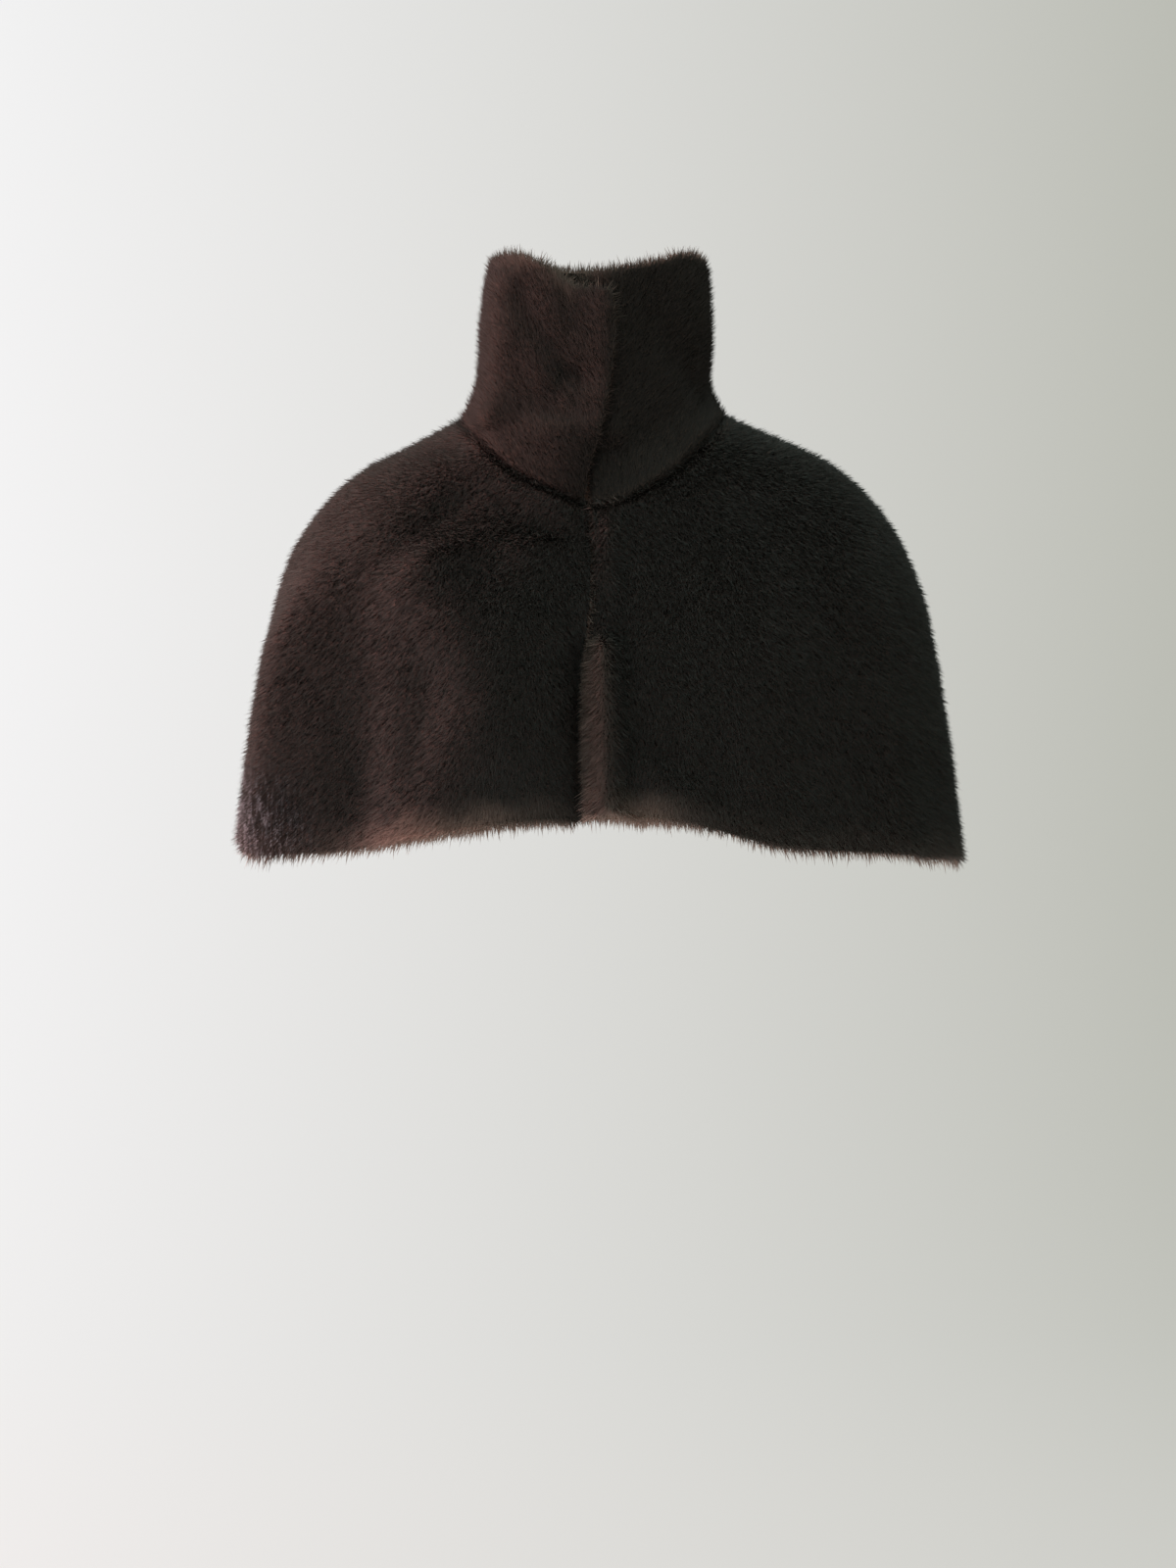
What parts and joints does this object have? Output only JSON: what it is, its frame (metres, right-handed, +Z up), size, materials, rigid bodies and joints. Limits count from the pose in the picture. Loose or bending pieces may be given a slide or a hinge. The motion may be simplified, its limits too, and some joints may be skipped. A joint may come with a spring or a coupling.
{
  "type": "fur cape",
  "caption": "Short fur cape with a high funnel collar that laps across the throat. It rests on the shoulders, and a hidden hook and eye close its front.",
  "frame": {"origin": "in the middle of the neck opening, at the height of the neck seam on the shoulders, where the wearer's shoulders hold the cape up", "axes": "+Z up, the front faces -Y, +X to the wearer's left"},
  "size_m": [0.611, 0.3345, 0.5198],
  "materials": {
    "brown_fur": "dense short sheared fur, very dark brown, soft sheen, lying down towards the hem",
    "collar_fur": "the same fur, lying up towards the rim",
    "black_wire": "black japanned"
  },
  "bodies": {
    "root": {"back": "brown_fur", "front_right": "brown_fur", "front_left": "brown_fur", "collar": "collar_fur", "front_hook": "black_wire", "front_eye": "black_wire"}
  },
  "joints": []
}
